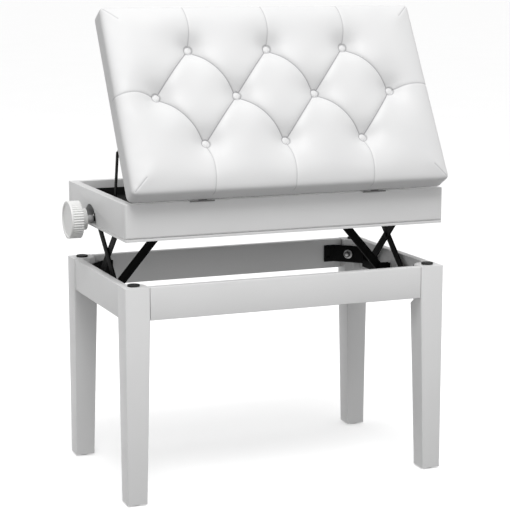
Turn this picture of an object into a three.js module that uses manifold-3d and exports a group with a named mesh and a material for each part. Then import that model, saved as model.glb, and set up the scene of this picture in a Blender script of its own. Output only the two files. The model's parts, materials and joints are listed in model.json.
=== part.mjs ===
// Height-adjustable piano bench with a hinged, button-tufted seat over a storage tray.
// Millimetres, +Z up. X runs along the bench; the lid hinges on the rear (-Y) edge and opens at the
// front (+Y). The bench stands on z = 0 with its seat raised and its lid open.
import * as THREE from 'three';
import { mergeVertices } from 'three/addons/utils/BufferGeometryUtils.js';
import Module from 'manifold-3d';

const wasm = await Module();
wasm.setup();

// ---------------------------------------------------------------- driving dimensions
const GAP = 0.3;                  // clearance between touching pieces
const LENGTH = 560;               // lower frame, outside
const DEPTH = 330;
const GLIDE_HEIGHT = 3;
const FRAME_TOP = 354.4;
const APRON_HEIGHT = 53.2;
const APRON_FACE = 1;             // aprons' outer faces, behind the legs' outer faces
const APRON_BACK = 15;            // aprons' inner faces, behind the legs' outer faces
const APRON_END_GAP = 0.9;        // shadow gap between an apron and a leg
const LEG_TOP_SIZE = 40.7;
const LEG_FOOT_SIZE = 32.5;
const LEG_CHAMFER = 12;           // diagonal cut on each leg's inner corner

const BOX_LENGTH = 554.6;         // seat box, outside
const BOX_DEPTH = 323.6;
const BOX_BOTTOM = 427.1;
const BOX_TOP = 486.4;
const WALL = 15;
const BASE_RING = 4;              // strip closing the underside edge of the box
const TRAY_FLOOR = 457;
const TRAY_FLOOR_THICKNESS = 2.5;
const TRAY_RIM = 472.8;

const LID_ANGLE = THREE.MathUtils.degToRad(60);
const LID_LENGTH = 550;
const LID_DEPTH = 329;
const LID_THICKNESS = 42;         // board and cushion together
const LID_GAP = 0.6;              // underside above the box rim when closed
const BOARD_THICKNESS = 12;
const HINGE_X = 150;
const HINGE_OFFSET = 1.6;         // hinge axis behind the box's rear face

const SCREW_Y = 31;               // lead screw axis
const SCREW_Z = 438.2;
const SCREW_RADIUS = 5;
const KNOB_RADIUS = 31;

const SCISSOR_LOW_Z = 328;        // lower and upper pivot heights of the scissor pairs
const SCISSOR_HIGH_Z = 439;
const SCISSOR_PIVOT_Y = -59.5;    // both fixed pivots are on the rear side
const SCISSOR_SPAN = 119;         // distance from the fixed to the sliding pivots
const DRIVE_LOW = new THREE.Vector2(247, 321);
const DRIVE_HIGH = new THREE.Vector2(142, 443);

const STAY_BOX_PIVOT = new THREE.Vector2(-44, 471);
const STAY_LID_PIVOT = new THREE.Vector2(146, -9.4);   // along and below the open lid, from the hinge
const STAY_LOWER = 84.3;
const STAY_UPPER = 58.6;

const ORIGIN_X = 20;              // moves the footprint's centre onto the origin
const ORIGIN_Y = 17;

// ---------------------------------------------------------------- materials
const material = (color, roughness, metalness = 0) =>
  new THREE.MeshStandardMaterial({ color, roughness, metalness });
const paint = material(0xe6e6e6, 0.4);
const leather = material(0xf2f2f2, 0.5);
const boardLining = material(0x2a2a2b, 0.9);
const blackSteel = material(0x161617, 0.45, 0.4);
const trayBlack = material(0x121212, 0.85);
const zinc = material(0xb8bbbe, 0.35, 0.9);
const rubber = material(0x1e1e1f, 0.85);
const nylon = material(0xd9d9d7, 0.5);
const plastic = material(0xeeeeec, 0.35);

// ---------------------------------------------------------------- geometry helpers
// Shares the vertices that coincide and drops the triangles that this leaves without area.
function weld(geometry) {
  const bare = geometry.clone();
  bare.deleteAttribute('normal');
  bare.deleteAttribute('uv');
  const merged = mergeVertices(bare);
  const triangles = [];
  for (let i = 0; i < merged.index.count; i += 3) {
    const [a, b, c] = merged.index.array.subarray(i, i + 3);
    if (a !== b && b !== c && c !== a) triangles.push(a, b, c);
  }
  merged.setIndex(triangles);
  merged.computeVertexNormals();
  return merged;
}

function toSolid(geometry) {
  const closed = weld(geometry);
  return new wasm.Manifold(new wasm.Mesh({
    numProp: 3,
    vertProperties: new Float32Array(closed.attributes.position.array),
    triVerts: new Uint32Array(closed.index.array),
  }));
}

function toGeometry(solid) {
  const mesh = solid.getMesh();
  const geometry = new THREE.BufferGeometry();
  geometry.setAttribute('position', new THREE.BufferAttribute(mesh.vertProperties, 3));
  geometry.setIndex(new THREE.BufferAttribute(mesh.triVerts, 1));
  geometry.computeVertexNormals();
  return geometry;
}

function cut(body, ...tools) {
  return toGeometry(tools.reduce((solid, tool) => solid.subtract(toSolid(tool)), toSolid(body)));
}

function join(...bodies) {
  return toGeometry(bodies.map(toSolid).reduce((whole, body) => whole.add(body)));
}

function block([x0, x1], [y0, y1], [z0, z1]) {
  const geometry = new THREE.BoxGeometry(x1 - x0, y1 - y0, z1 - z0);
  return geometry.translate((x0 + x1) / 2, (y0 + y1) / 2, (z0 + z1) / 2);
}

// A round bar along X between x0 and x1, centred on (y, z).
function rodX(radius, [x0, x1], [y, z], sides = 16) {
  const geometry = new THREE.CylinderGeometry(radius, radius, x1 - x0, sides);
  return geometry.rotateZ(Math.PI / 2).translate((x0 + x1) / 2, y, z);
}

// A round bar along Y between y0 and y1, centred on (x, z).
function rodY(radius, [y0, y1], [x, z], sides = 16) {
  const geometry = new THREE.CylinderGeometry(radius, radius, y1 - y0, sides);
  return geometry.translate(x, (y0 + y1) / 2, z);
}

// A flat shape drawn in (y, z) and given thickness from x0 to x1.
function plateYZ(shape, [x0, x1]) {
  const geometry = new THREE.ExtrudeGeometry(shape, { depth: x1 - x0, bevelEnabled: false, curveSegments: 5 });
  const axes = new THREE.Matrix4().makeBasis(
    new THREE.Vector3(0, 1, 0), new THREE.Vector3(0, 0, 1), new THREE.Vector3(1, 0, 0));
  return weld(geometry.applyMatrix4(axes).translate(x0, 0, 0));
}

// A flat shape drawn in (x, z) and given thickness from y0 to y1.
function plateXZ(shape, [y0, y1]) {
  const geometry = new THREE.ExtrudeGeometry(shape, { depth: y1 - y0, bevelEnabled: false, curveSegments: 5 });
  return weld(geometry.rotateX(Math.PI / 2).translate(0, y1, 0));
}

// A shape drawn in (x, y) and raised from z0 to z1.
function plateXY(shape, [z0, z1]) {
  const geometry = new THREE.ExtrudeGeometry(shape, { depth: z1 - z0, bevelEnabled: false, curveSegments: 3 });
  return weld(geometry.translate(0, 0, z0));
}

// Puts an [inner, outer] pair of distances on the left (-1) or right (+1) end, in rising order.
function onSide(side, distances) {
  return distances.map((x) => side * x).sort((a, b) => a - b);
}

function polygon(points) {
  return new THREE.Shape(points.map(([x, y]) => new THREE.Vector2(x, y)));
}

function roundedRectangle([x0, x1], [y0, y1], radius) {
  const shape = new THREE.Shape();
  shape.absarc(x1 - radius, y0 + radius, radius, -Math.PI / 2, 0);
  shape.absarc(x1 - radius, y1 - radius, radius, 0, Math.PI / 2);
  shape.absarc(x0 + radius, y1 - radius, radius, Math.PI / 2, Math.PI);
  shape.absarc(x0 + radius, y0 + radius, radius, Math.PI, 1.5 * Math.PI);
  return shape;
}

function roundHole(x, y, radius) {
  const hole = new THREE.Path();
  hole.absarc(x, y, radius, 0, 2 * Math.PI, true);
  return hole;
}

// A level slot with round ends between y0 and y1.
function slot([y0, y1], z, radius) {
  const hole = new THREE.Path();
  hole.absarc(y0, z, radius, -Math.PI / 2, Math.PI / 2, true);
  hole.absarc(y1, z, radius, Math.PI / 2, -Math.PI / 2, true);
  return hole;
}

// A flat link with round ends, from (0, 0) along +x.
function linkShape(length, width, farRadius = width / 2) {
  const half = width / 2;
  const spread = Math.asin(half / farRadius);
  const shape = new THREE.Shape();
  shape.absarc(0, 0, half, Math.PI / 2, 1.5 * Math.PI);
  shape.absarc(length, 0, farRadius, spread - Math.PI, Math.PI - spread);
  return shape;
}

function addMesh(parent, name, geometry, surface) {
  const mesh = new THREE.Mesh(geometry, surface);
  mesh.name = name;
  parent.add(mesh);
  return mesh;
}

const bench = new THREE.Group();
bench.position.set(ORIGIN_X, ORIGIN_Y, 0);

// ---------------------------------------------------------------- lower frame
const APRON_BOTTOM = FRAME_TOP - APRON_HEIGHT;
const BRACKET_HEIGHT = 31;
const BRACKET_TOP = FRAME_TOP - 10;
const BOLT_Z = BRACKET_TOP - BRACKET_HEIGHT / 2;
const CHAMFER_OUT = (2 * LEG_TOP_SIZE - LEG_CHAMFER) / Math.SQRT2;   // along the corner's diagonal
const PLATE_SUM = 72;                                                // x + y of the plate's leg side
const PLATE_OUT = PLATE_SUM / Math.SQRT2;
const SHEET = 2;

// Turns a body made along +x so that it points along the corner's inward diagonal.
function alongDiagonal(geometry) {
  return geometry.rotateZ(Math.PI / 4);
}

// One leg, its outer corner on the z axis: straight outside, tapering on both inner faces.
function legGeometry() {
  const length = FRAME_TOP - GLIDE_HEIGHT;
  const outline = roundedRectangle([0, LEG_TOP_SIZE], [0, LEG_TOP_SIZE], 1.6);
  const post = new THREE.ExtrudeGeometry(outline, { depth: length, steps: 2, bevelEnabled: false, curveSegments: 2 });
  const points = post.attributes.position;
  for (let i = 0; i < points.count; i += 1) {
    const level = Math.round((2 * points.getZ(i)) / length);
    const size = level === 0 ? LEG_FOOT_SIZE / LEG_TOP_SIZE : 1;
    const height = [GLIDE_HEIGHT, APRON_BOTTOM, FRAME_TOP][level];
    points.setXYZ(i, points.getX(i) * size, points.getY(i) * size, height);
  }
  const cutBottom = APRON_BOTTOM - 8;
  const wedge = plateXZ(polygon([
    [CHAMFER_OUT, cutBottom], [CHAMFER_OUT + 20, cutBottom - 20],
    [CHAMFER_OUT + 20, FRAME_TOP + 5], [CHAMFER_OUT, FRAME_TOP + 5],
  ]), [-40, 40]);
  const boltHole = rodX(3.4, [CHAMFER_OUT - 24, CHAMFER_OUT + 2], [0, BOLT_Z]);
  return cut(post, alongDiagonal(wedge), alongDiagonal(boltHole));
}

// A folded steel plate across the corner, with a flange on each apron.
function cornerBracketGeometry() {
  const face = APRON_BACK + GAP;
  const inner = face + SHEET;
  const bend = PLATE_SUM - face;
  const innerBend = PLATE_SUM + SHEET * Math.SQRT2 - inner;
  const flangeEnd = bend + 20;
  const profile = polygon([
    [face, flangeEnd], [face, bend], [bend, face], [flangeEnd, face],
    [flangeEnd, inner], [innerBend, inner], [inner, innerBend], [inner, flangeEnd],
  ]);
  const folded = plateXY(profile, [BRACKET_TOP - BRACKET_HEIGHT, BRACKET_TOP]);
  return cut(folded, alongDiagonal(rodX(3.6, [PLATE_OUT - 5, PLATE_OUT + 8], [0, BOLT_Z])));
}

// Hanger bolt with its washer and nut, turned about the diagonal.
function cornerBoltGeometry() {
  const washer = PLATE_OUT + SHEET + GAP;
  const outline = [
    [0, CHAMFER_OUT - 22], [3, CHAMFER_OUT - 22], [3, washer], [8.2, washer], [8.2, washer + 1.6],
    [6.2, washer + 1.6], [6.2, washer + 6.6], [3, washer + 6.6], [3, washer + 9], [0, washer + 9],
  ].map(([radius, along]) => new THREE.Vector2(radius, along));
  const turned = new THREE.LatheGeometry(outline, 12).rotateZ(-Math.PI / 2).translate(0, 0, BOLT_Z);
  return alongDiagonal(turned);
}

function bumperGeometry() {
  const disc = new THREE.CylinderGeometry(9.4, 10, 3, 24).rotateX(Math.PI / 2);
  return disc.translate(20, 20, FRAME_TOP + GAP + 1.5);
}

function glideGeometry() {
  const middle = LEG_FOOT_SIZE / 2;
  const outline = [[0, 0], [8.5, 0], [11.5, 1.2], [11.5, 2.2], [9, GLIDE_HEIGHT - GAP], [0, GLIDE_HEIGHT - GAP]]
    .map(([radius, height]) => new THREE.Vector2(radius, height));
  return new THREE.LatheGeometry(outline, 20).rotateX(Math.PI / 2).translate(middle, middle, 0);
}

const corners = [
  ['rear_left', -1, -1, 0],
  ['rear_right', 1, -1, 0.5],
  ['front_right', 1, 1, 1],
  ['front_left', -1, 1, -0.5],
];
for (const [name, sideX, sideY, halfTurns] of corners) {
  const corner = new THREE.Group();
  corner.position.set((sideX * LENGTH) / 2, (sideY * DEPTH) / 2, 0);
  corner.rotation.z = halfTurns * Math.PI;
  addMesh(corner, `leg_${name}`, legGeometry(), paint);
  addMesh(corner, `corner_bracket_${name}`, cornerBracketGeometry(), blackSteel);
  addMesh(corner, `corner_bolt_${name}`, cornerBoltGeometry(), zinc);
  addMesh(corner, `bumper_${name}`, bumperGeometry(), rubber);
  addMesh(corner, `glide_${name}`, glideGeometry(), nylon);
  bench.add(corner);
}

const apronLevels = [APRON_BOTTOM, FRAME_TOP];
const apronEndX = LENGTH / 2 - LEG_TOP_SIZE - APRON_END_GAP;
const apronEndY = DEPTH / 2 - LEG_TOP_SIZE - APRON_END_GAP;
for (const [name, side] of [['rear', -1], ['front', 1]]) {
  const faces = onSide(side, [DEPTH / 2 - APRON_FACE, DEPTH / 2 - APRON_BACK]);
  addMesh(bench, `apron_${name}`, block([-apronEndX, apronEndX], faces, apronLevels), paint);
}
for (const [name, side] of [['left', -1], ['right', 1]]) {
  const faces = onSide(side, [LENGTH / 2 - APRON_FACE, LENGTH / 2 - APRON_BACK]);
  addMesh(bench, `apron_${name}`, block(faces, [-apronEndY, apronEndY], apronLevels), paint);
}

// ---------------------------------------------------------------- seat box
const boxX = BOX_LENGTH / 2;
const boxY = BOX_DEPTH / 2;
const WALL_BOTTOM = BOX_BOTTOM + BASE_RING + GAP;
const RING_TOP = BOX_BOTTOM + BASE_RING;
const insideX = boxX - WALL;
const insideY = boxY - WALL;
const LEAF = 1;                   // hinge leaf thickness
const LEAF_LEVEL = 0.2;           // from the hinge axis to each leaf's inner face
const LEAF_RECESS = LEAF_LEVEL + LEAF + GAP;
const LEAF_HALF = 20;
const KNUCKLE_RADIUS = 1.2;
const hingeY = -boxY - HINGE_OFFSET;

function baseRingGeometry() {
  const ring = roundedRectangle([-boxX, boxX], [-boxY, boxY], 3);
  ring.holes.push(roundedRectangle([-insideX, insideX], [-insideY, insideY], 1));
  return plateXY(ring, [BOX_BOTTOM, RING_TOP]);
}

function longWallGeometry(side) {
  const faces = side < 0 ? [-boxY, -insideY] : [insideY, boxY];
  return block([-boxX, boxX], faces, [WALL_BOTTOM, BOX_TOP]);
}

function rearWallGeometry() {
  const recesses = [-HINGE_X, HINGE_X].map((x) => block(
    [x - LEAF_HALF - 0.5, x + LEAF_HALF + 0.5], [hingeY - 3, hingeY + 14], [BOX_TOP - LEAF_RECESS, BOX_TOP + 5]));
  return cut(longWallGeometry(-1), ...recesses);
}

// The left end wall has a half-round notch in its lower edge for the knob's shaft.
function notchedWallShape() {
  const end = insideY - GAP;
  const shape = polygon([[-end, WALL_BOTTOM], [-end, BOX_TOP], [end, BOX_TOP], [end, WALL_BOTTOM]]);
  const notchRadius = 34;
  const drop = 3;                                     // arc centre below the wall's lower edge
  const reach = Math.acos(drop / notchRadius);
  shape.absarc(SCREW_Y, WALL_BOTTOM - drop, notchRadius, Math.PI / 2 - reach, Math.PI / 2 + reach);
  return shape;
}

addMesh(bench, 'box_base_ring', baseRingGeometry(), paint);
addMesh(bench, 'box_wall_rear', rearWallGeometry(), paint);
addMesh(bench, 'box_wall_front', longWallGeometry(1), paint);
addMesh(bench, 'box_wall_left', plateYZ(notchedWallShape(), [-boxX, -insideX]), paint);
addMesh(bench, 'box_wall_right',
  block([insideX, boxX], [-insideY + GAP, insideY - GAP], [WALL_BOTTOM, BOX_TOP]), paint);

function trayGeometry() {
  const outX = insideX - GAP;
  const outY = insideY - GAP;
  const side = 1.5;
  const shell = block([-outX, outX], [-outY, outY], [TRAY_FLOOR, TRAY_RIM]);
  const floorTop = TRAY_FLOOR + TRAY_FLOOR_THICKNESS;
  const space = block([side - outX, outX - side], [side - outY, outY - side], [floorTop, TRAY_RIM + 5]);
  return cut(shell, space);
}
addMesh(bench, 'storage_tray', trayGeometry(), trayBlack);

// ---------------------------------------------------------------- lift mechanism
const RAIL_OUT = 262;             // outer face of the rails
const RAIL_IN = 260;
const OUTER_LINK = [257.2, 259.6];
const INNER_LINK = [254.4, 256.8];
const PIN = 3;
const SLIDE_Y = SCISSOR_PIVOT_Y + SCISSOR_SPAN;
const SLOT_ENDS = [SLIDE_Y - 7.5, SLIDE_Y + 36.9];
const SLOT_RADIUS = PIN + 2.4;    // the sliding pins have play up and down
const LOWER_RAIL_FOOT = 308;
const LOWER_RAIL_DIP = 317;
const SCISSOR_RISE = SCISSOR_HIGH_Z - SCISSOR_LOW_Z;
const SCISSOR_LINK = Math.hypot(SCISSOR_SPAN, SCISSOR_RISE);
const SCISSOR_ANGLE = Math.atan2(SCISSOR_RISE, SCISSOR_SPAN);

// The lower plate is cut low between the pivot and the slot, to clear the drive arm.
function lowerRailShape() {
  const top = SCISSOR_LOW_Z + 8.8;
  const shape = polygon([
    [-80, LOWER_RAIL_FOOT], [SLIDE_Y + 45, LOWER_RAIL_FOOT], [SLIDE_Y + 45, top], [46, top],
    [38, LOWER_RAIL_DIP], [-42, LOWER_RAIL_DIP], [-50, top], [-80, top],
  ]);
  shape.holes.push(slot(SLOT_ENDS, SCISSOR_LOW_Z, SLOT_RADIUS));
  return shape;
}

function lowerRailGeometry(side) {
  const plate = plateYZ(lowerRailShape(), onSide(side, [RAIL_IN, RAIL_OUT]));
  const apronFace = LENGTH / 2 - APRON_BACK - GAP;
  const feet = [[-80, -68], [68, 80]].map((ends) =>
    block(onSide(side, [RAIL_OUT - 1, apronFace]), ends, [SCISSOR_LOW_Z + 3.8, SCISSOR_LOW_Z + 8.8]));
  const pivot = rodX(PIN, onSide(side, [OUTER_LINK[0] - 0.2, RAIL_OUT]), [SCISSOR_PIVOT_Y, SCISSOR_LOW_Z]);
  const cheeks = [[-5.2, -2.4], [2.4, 5.2]].map((ends) =>
    block(onSide(side, [239.5, RAIL_OUT]), ends, [DRIVE_LOW.y - 10, DRIVE_LOW.y + 12.5]));
  const hingePin = rodY(PIN, [-5.2, 5.2], [side * DRIVE_LOW.x, DRIVE_LOW.y]);
  return join(plate, ...feet, pivot, ...cheeks, hingePin);
}

function upperRailGeometry(side) {
  const levels = [SCISSOR_HIGH_Z - 9.6, SCISSOR_HIGH_Z + 9.6];
  const shape = roundedRectangle([-80, SLIDE_Y + 45], levels, 2);
  shape.holes.push(slot(SLOT_ENDS, SCISSOR_HIGH_Z, SLOT_RADIUS));
  shape.holes.push(roundHole(SCREW_Y, SCREW_Z, SCREW_RADIUS + GAP));
  const pivot = rodX(PIN, onSide(side, [INNER_LINK[0] - 0.4, RAIL_OUT]), [SCISSOR_PIVOT_Y, SCISSOR_HIGH_Z]);
  return join(plateYZ(shape, onSide(side, [RAIL_IN, RAIL_OUT])), pivot);
}

// The outer link turns on the lower rail; its far pin slides in the upper rail, its middle rivet
// holds the inner link. Both are drawn from their fixed pivot along +Y.
function outerLinkGeometry(side) {
  const shape = linkShape(SCISSOR_LINK, 15);
  shape.holes.push(roundHole(0, 0, PIN + GAP));
  const pin = rodX(PIN, onSide(side, [OUTER_LINK[0], RAIL_OUT]), [SCISSOR_LINK, 0]);
  const rivet = rodX(PIN, onSide(side, [INNER_LINK[0] - 0.6, OUTER_LINK[1]]), [SCISSOR_LINK / 2, 0]);
  return join(plateYZ(shape, onSide(side, OUTER_LINK)), pin, rivet);
}

function innerLinkGeometry(side) {
  const shape = linkShape(SCISSOR_LINK, 15);
  shape.holes.push(roundHole(0, 0, PIN + GAP));
  shape.holes.push(roundHole(SCISSOR_LINK / 2, 0, PIN + 2.3));
  const pin = rodX(PIN, onSide(side, [INNER_LINK[0], RAIL_OUT]), [SCISSOR_LINK, 0]);
  return join(plateYZ(shape, onSide(side, INNER_LINK)), pin);
}

const driveRun = DRIVE_LOW.x - DRIVE_HIGH.x;
const driveRise = DRIVE_HIGH.y - DRIVE_LOW.y;
const DRIVE_LINK = Math.hypot(driveRun, driveRise);
const DRIVE_ANGLE = Math.atan2(driveRise, driveRun);

function driveArmGeometry() {
  const shape = linkShape(DRIVE_LINK, 14, 11);
  shape.holes.push(roundHole(0, 0, PIN + GAP));
  shape.holes.push(roundHole(DRIVE_LINK, 0, PIN + 4.6));
  return plateXZ(shape, [-2, 2]);
}

// The nut rides on the screw and carries a cross pin through the drive arm's eye.
function nutGeometry() {
  const body = block([-10, 10], [SCREW_Y - 11, SCREW_Y + 11], [-11, 11]);
  const crossPin = rodY(PIN, [-7, SCREW_Y - 8], [0, DRIVE_HIGH.y - SCREW_Z]);
  return cut(join(body, crossPin), rodX(SCREW_RADIUS + GAP, [-12, 12], [SCREW_Y, 0]));
}

for (const [name, side] of [['left', -1], ['right', 1]]) {
  addMesh(bench, `lower_rail_${name}`, lowerRailGeometry(side), blackSteel);
  addMesh(bench, `upper_rail_${name}`, upperRailGeometry(side), blackSteel);

  const outerLink = addMesh(bench, `scissor_outer_${name}`, outerLinkGeometry(side), blackSteel);
  outerLink.position.set(0, SCISSOR_PIVOT_Y, SCISSOR_LOW_Z);
  outerLink.rotation.x = SCISSOR_ANGLE;
  const innerLink = addMesh(bench, `scissor_inner_${name}`, innerLinkGeometry(side), blackSteel);
  innerLink.position.set(0, SCISSOR_PIVOT_Y, SCISSOR_HIGH_Z);
  innerLink.rotation.x = -SCISSOR_ANGLE;

  const driveArm = addMesh(bench, `drive_arm_${name}`, driveArmGeometry(), blackSteel);
  driveArm.position.set(side * DRIVE_LOW.x, 0, DRIVE_LOW.y);
  driveArm.rotation.y = side > 0 ? DRIVE_ANGLE - Math.PI : -DRIVE_ANGLE;
  const nut = addMesh(bench, `screw_nut_${name}`, nutGeometry(), zinc);
  nut.position.set(side * DRIVE_HIGH.x, 0, SCREW_Z);
}

// ---------------------------------------------------------------- knob and lead screw
const KNOB_FACE = -319;
const KNOB_BACK = -296;
const HUB_END = -285.6;
const SCREW_LEFT = -306;

// The fluted rim is a circle with shallow waves.
function knobGeometry() {
  const flutes = 44;
  const pointsPerFlute = 3;
  const count = flutes * pointsPerFlute;
  const outline = [];
  for (let i = 0; i < count; i += 1) {
    const turn = (2 * Math.PI * i) / count;
    const radius = KNOB_RADIUS - 0.8 + 0.8 * Math.cos(flutes * turn);
    outline.push([SCREW_Y + radius * Math.cos(turn), SCREW_Z + radius * Math.sin(turn)]);
  }
  const rim = plateYZ(polygon(outline), [KNOB_FACE, KNOB_BACK]);
  const hub = rodX(15, [KNOB_BACK - 1, HUB_END], [SCREW_Y, SCREW_Z], 24);
  const dish = rodX(KNOB_RADIUS - 5, [KNOB_FACE - 1, KNOB_FACE + 0.8], [SCREW_Y, SCREW_Z], 28);
  const bore = rodX(SCREW_RADIUS + GAP, [SCREW_LEFT - GAP, HUB_END + 1], [SCREW_Y, SCREW_Z]);
  return cut(join(rim, hub), dish, bore);
}

function sleeveGeometry() {
  const sleeve = rodX(6.3, [HUB_END + GAP, -273], [SCREW_Y, SCREW_Z]);
  return cut(sleeve, rodX(SCREW_RADIUS + GAP, [HUB_END - 1, -272], [SCREW_Y, SCREW_Z]));
}

addMesh(bench, 'knob', knobGeometry(), plastic);
addMesh(bench, 'knob_sleeve', sleeveGeometry(), plastic);
addMesh(bench, 'lead_screw', rodX(SCREW_RADIUS, [SCREW_LEFT, RAIL_OUT], [SCREW_Y, SCREW_Z]), blackSteel);

// ---------------------------------------------------------------- lid
// Everything on the lid is drawn closed, from the hinge axis: +Y toward the front, +Z up.
const lid = new THREE.Group();
lid.position.set(0, hingeY, BOX_TOP);
lid.rotation.x = LID_ANGLE;
bench.add(lid);

const lidRear = HINGE_OFFSET;
const lidFront = HINGE_OFFSET + LID_DEPTH;
const SKIRT = 2.2;                // cover wrapped down the board's edges
const boardTop = LID_GAP + BOARD_THICKNESS;

function boardOutline(inset) {
  return roundedRectangle(
    [inset - LID_LENGTH / 2, LID_LENGTH / 2 - inset], [lidRear + inset, lidFront - inset], 9 - SKIRT);
}

function lidLeafRecess(x, top) {
  return block([x - LEAF_HALF - 0.5, x + LEAF_HALF + 0.5], [-4, 14], [-3, top]);
}

function cushionGeometry() {
  const round = 7;
  const outline = roundedRectangle(
    [round - LID_LENGTH / 2, LID_LENGTH / 2 - round], [lidRear + round, lidFront - round], 3);
  const pad = new THREE.ExtrudeGeometry(outline, {
    depth: LID_THICKNESS, bevelThickness: round, bevelSize: round, bevelSegments: 3, curveSegments: 3,
  });
  pad.translate(0, 0, LID_GAP - round);
  const below = block([-300, 300], [-20, 360], [-20, LID_GAP]);
  const pocket = plateXY(boardOutline(SKIRT), [-1, boardTop + GAP]);
  const recesses = [-HINGE_X, HINGE_X].map((x) => lidLeafRecess(x, LEAF_RECESS));
  return cut(pad, below, pocket, ...recesses);
}

function boardGeometry() {
  const board = plateXY(boardOutline(SKIRT + GAP), [LID_GAP, boardTop]);
  const recesses = [-HINGE_X, HINGE_X].map((x) => lidLeafRecess(x, LEAF_RECESS));
  return cut(board, ...recesses);
}

// Butt hinge leaves: the outer knuckles belong to the box leaf, the middle one to the lid leaf.
const MIDDLE_KNUCKLE = 7;
const CLEAR_OF_KNUCKLE = 2.4;

function boxLeafGeometry() {
  const levels = [-LEAF_LEVEL - LEAF, -LEAF_LEVEL];
  const plate = block([-LEAF_HALF, LEAF_HALF], [CLEAR_OF_KNUCKLE, 13.5], levels);
  const ends = [[-LEAF_HALF, -MIDDLE_KNUCKLE - GAP], [MIDDLE_KNUCKLE + GAP, LEAF_HALF]];
  const tongues = ends.map((end) => block(end, [0, 4], levels));
  const knuckles = ends.map((end) => rodX(KNUCKLE_RADIUS, end, [0, 0], 16));
  return join(plate, ...tongues, ...knuckles);
}

function lidLeafGeometry() {
  const levels = [LEAF_LEVEL, LEAF_LEVEL + LEAF];
  const plate = block([-LEAF_HALF, LEAF_HALF], [CLEAR_OF_KNUCKLE, 13.5], levels);
  const tongue = block([-MIDDLE_KNUCKLE, MIDDLE_KNUCKLE], [0, 4], levels);
  return join(plate, tongue, rodX(KNUCKLE_RADIUS, [-MIDDLE_KNUCKLE, MIDDLE_KNUCKLE], [0, 0], 16));
}

addMesh(lid, 'lid_board', boardGeometry(), boardLining);
addMesh(lid, 'cushion', cushionGeometry(), leather);
for (const [name, side] of [['left', -1], ['right', 1]]) {
  const boxLeaf = addMesh(bench, `hinge_box_leaf_${name}`, boxLeafGeometry(), blackSteel);
  boxLeaf.position.set(side * HINGE_X, hingeY, BOX_TOP);
  const lidLeaf = addMesh(lid, `hinge_lid_leaf_${name}`, lidLeafGeometry(), blackSteel);
  lidLeaf.position.x = side * HINGE_X;
}

// ---------------------------------------------------------------- folding lid stay, left end
const STAY_LOWER_X = [-258.2, -256.2];
const STAY_UPPER_X = [-255.9, -253.9];
const STAY_PIN = 2;
const STAY_WIDTH = 10;

// Where the stay's elbow lies: the front one of the two points at the arms' lengths from the pivots.
function stayElbow(lower, upper) {
  const reach = lower.distanceTo(upper);
  const along = (STAY_LOWER ** 2 - STAY_UPPER ** 2 + reach ** 2) / (2 * reach);
  const aside = Math.sqrt(STAY_LOWER ** 2 - along ** 2);
  const direction = upper.clone().sub(lower).divideScalar(reach);
  return new THREE.Vector2(
    lower.x + direction.x * along + direction.y * aside,
    lower.y + direction.y * along - direction.x * aside);
}

const lidPivot = STAY_LID_PIVOT.clone().rotateAround(new THREE.Vector2(), LID_ANGLE)
  .add(new THREE.Vector2(hingeY, BOX_TOP));
const elbow = stayElbow(STAY_BOX_PIVOT, lidPivot);

function stayPlateGeometry() {
  const shape = roundedRectangle([-12, 12], [-8.4, 8.4], 4);
  const plate = plateYZ(shape, [-260.2, -258.5]);
  return join(plate, rodX(STAY_PIN, [-259, -256.3], [0, 0]));
}

function stayArmGeometry(length, levels) {
  const shape = linkShape(length, STAY_WIDTH);
  shape.holes.push(roundHole(0, 0, STAY_PIN + GAP));
  return plateYZ(shape, levels);
}

function stayBracketGeometry() {
  const foot = block([-253.6, -236], [-10, 10], [-STAY_LID_PIVOT.y - 1.2, -STAY_LID_PIVOT.y + LID_GAP - GAP]);
  const tab = polygon([[-6, -5], [6, -5], [10, 9], [-10, 9]]);
  return join(foot, plateYZ(tab, [-253.6, -251.8]), rodX(STAY_PIN, [-255.9, -252], [0, 0]));
}

const stayPlate = addMesh(bench, 'stay_box_plate', stayPlateGeometry(), blackSteel);
stayPlate.position.set(0, STAY_BOX_PIVOT.x, STAY_BOX_PIVOT.y);
const stayLower = addMesh(bench, 'stay_lower_arm', stayArmGeometry(STAY_LOWER, STAY_LOWER_X), blackSteel);
stayLower.position.set(0, STAY_BOX_PIVOT.x, STAY_BOX_PIVOT.y);
stayLower.rotation.x = elbow.clone().sub(STAY_BOX_PIVOT).angle();
const stayUpper = addMesh(bench, 'stay_upper_arm', stayArmGeometry(STAY_UPPER, STAY_UPPER_X), blackSteel);
stayUpper.position.set(0, lidPivot.x, lidPivot.y);
stayUpper.rotation.x = elbow.clone().sub(lidPivot).angle();
const stayBracket = addMesh(lid, 'stay_lid_bracket', stayBracketGeometry(), blackSteel);
stayBracket.position.set(0, STAY_LID_PIVOT.x, STAY_LID_PIVOT.y);

export default bench;
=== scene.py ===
# Height-adjustable piano bench: white painted frame, seat box on a scissor lift,
# and a hinged lid with a button-tufted cushion.
import json
import math

import bpy
import numpy as np
from mathutils import Matrix, Vector


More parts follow.
